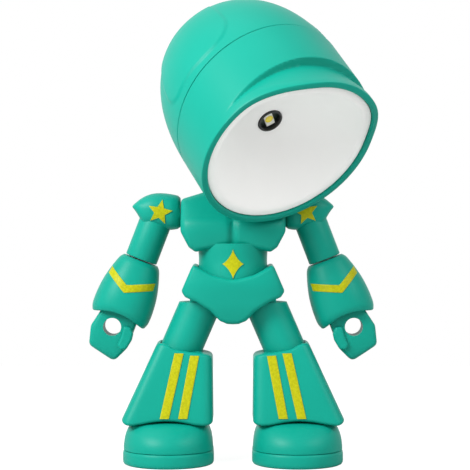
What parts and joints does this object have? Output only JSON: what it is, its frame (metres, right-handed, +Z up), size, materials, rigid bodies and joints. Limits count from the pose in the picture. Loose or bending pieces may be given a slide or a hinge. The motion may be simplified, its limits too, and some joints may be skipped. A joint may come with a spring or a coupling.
{
  "type": "robot shaped desk lamp",
  "caption": "Standing toy robot desk lamp whose turning helmet is the shade, with a round reflector, a push button at its crown and jointed arms and legs.",
  "frame": {"origin": "on the floor under the middle of the lamp's overall box", "axes": "+Z up, the robot faces -Y, +X to the right in the front view"},
  "size_m": [0.095, 0.0724, 0.1526],
  "materials": {
    "teal_plastic": "glossy moulded plastic",
    "white_plastic": "glossy white",
    "ornament": "olive yellow print",
    "black_plastic": "matte",
    "board": "circuit board",
    "led_white": "matte",
    "led_yellow": "clear resin over phosphor",
    "bright_metal": "plain"
  },
  "bodies": {
    "pelvis": {"pelvis": "teal_plastic", "hip_pin": "bright_metal"},
    "torso": {"chest_front": "teal_plastic", "chest_back": "teal_plastic", "chest_screws": "bright_metal", "abdomen": "teal_plastic", "abdomen_star": "ornament"},
    "neck": {"neck_post": "teal_plastic"},
    "head": {"helmet_front": "teal_plastic", "helmet_rear": "teal_plastic", "reflector": "white_plastic", "lamp_socket": "black_plastic", "lamp_board": "board", "led_chip": "led_white", "led_emitter": "led_yellow", "battery_holder": "black_plastic", "button_cell_1": "bright_metal", "button_cell_2": "bright_metal", "button_cell_3": "bright_metal", "contact_front": "bright_metal", "contact_rear": "bright_metal", "push_switch": "black_plastic", "crown_cover": "teal_plastic", "crown_screws": "bright_metal", "tilt_pin": "bright_metal"},
    "power_button": {"power_button": "teal_plastic"},
    "arm_left": {"shoulder_pad_left": "teal_plastic", "shoulder_star_left": "ornament", "upper_arm_left": "teal_plastic"},
    "forearm_left": {"gauntlet_left": "teal_plastic", "chevron_left": "ornament"},
    "hand_left": {"fist_left": "teal_plastic"},
    "leg_left": {"thigh_left": "teal_plastic", "boot_left": "teal_plastic", "boot_stripes_left": "ornament", "foot_left": "teal_plastic", "sole_left": "teal_plastic"},
    "arm_right": {"shoulder_pad_right": "teal_plastic", "shoulder_star_right": "ornament", "upper_arm_right": "teal_plastic"},
    "forearm_right": {"gauntlet_right": "teal_plastic", "chevron_right": "ornament"},
    "hand_right": {"fist_right": "teal_plastic"},
    "leg_right": {"thigh_right": "teal_plastic", "boot_right": "teal_plastic", "boot_stripes_right": "ornament", "foot_right": "teal_plastic", "sole_right": "teal_plastic"}
  },
  "joints": [
    {"name": "waist_twist", "type": "hinge", "parent": "pelvis", "child": "torso", "pos_m": [0, 0.01915, 0.063], "axis": [0, 0, 1], "range_deg": [-40, 40]},
    {"name": "neck_yaw", "type": "hinge", "parent": "torso", "child": "neck", "pos_m": [0, 0.01485, 0.0992], "axis": [0, 0, 1], "range_deg": [-68, 2]},
    {"name": "head_tilt", "type": "hinge", "parent": "neck", "child": "head", "pos_m": [0, 0.01485, 0.0992], "axis": [0.8387, 0.5446, 0], "range_deg": [-45, 1]},
    {"name": "power_button_press", "type": "slide", "parent": "head", "child": "power_button", "axis": [0.411, -0.633, -0.6561], "range_m": [0, 0.0012], "stiffness_N_per_m": 800, "springref_m": -0.0006},
    {"name": "shoulder_left", "type": "hinge", "parent": "torso", "child": "arm_left", "pos_m": [-0.0247, 0.02285, 0.0829], "axis": [1, 0, 0], "range_deg": [-60, 60]},
    {"name": "elbow_twist_left", "type": "hinge", "parent": "arm_left", "child": "forearm_left", "pos_m": [-0.03079, 0.02285, 0.06703], "axis": [-0.3584, 0, -0.9336], "range_deg": [-80, 80]},
    {"name": "wrist_twist_left", "type": "hinge", "parent": "forearm_left", "child": "hand_left", "pos_m": [-0.03653, 0.02285, 0.05209], "axis": [-0.3584, 0, -0.9336], "range_deg": [-80, 80]},
    {"name": "shoulder_right", "type": "hinge", "parent": "torso", "child": "arm_right", "pos_m": [0.0247, 0.02285, 0.0829], "axis": [1, 0, 0], "range_deg": [-60, 60]},
    {"name": "elbow_twist_right", "type": "hinge", "parent": "arm_right", "child": "forearm_right", "pos_m": [0.03079, 0.02285, 0.06703], "axis": [0.3584, 0, -0.9336], "range_deg": [-80, 80]},
    {"name": "wrist_twist_right", "type": "hinge", "parent": "forearm_right", "child": "hand_right", "pos_m": [0.03653, 0.02285, 0.05209], "axis": [0.3584, 0, -0.9336], "range_deg": [-80, 80]},
    {"name": "hip_left", "type": "hinge", "parent": "pelvis", "child": "leg_left", "pos_m": [-0.0103, 0.01915, 0.0535], "axis": [1, 0, 0], "range_deg": [-20, 20]},
    {"name": "hip_right", "type": "hinge", "parent": "pelvis", "child": "leg_right", "pos_m": [0.0103, 0.01915, 0.0535], "axis": [1, 0, 0], "range_deg": [-20, 20]}
  ]
}
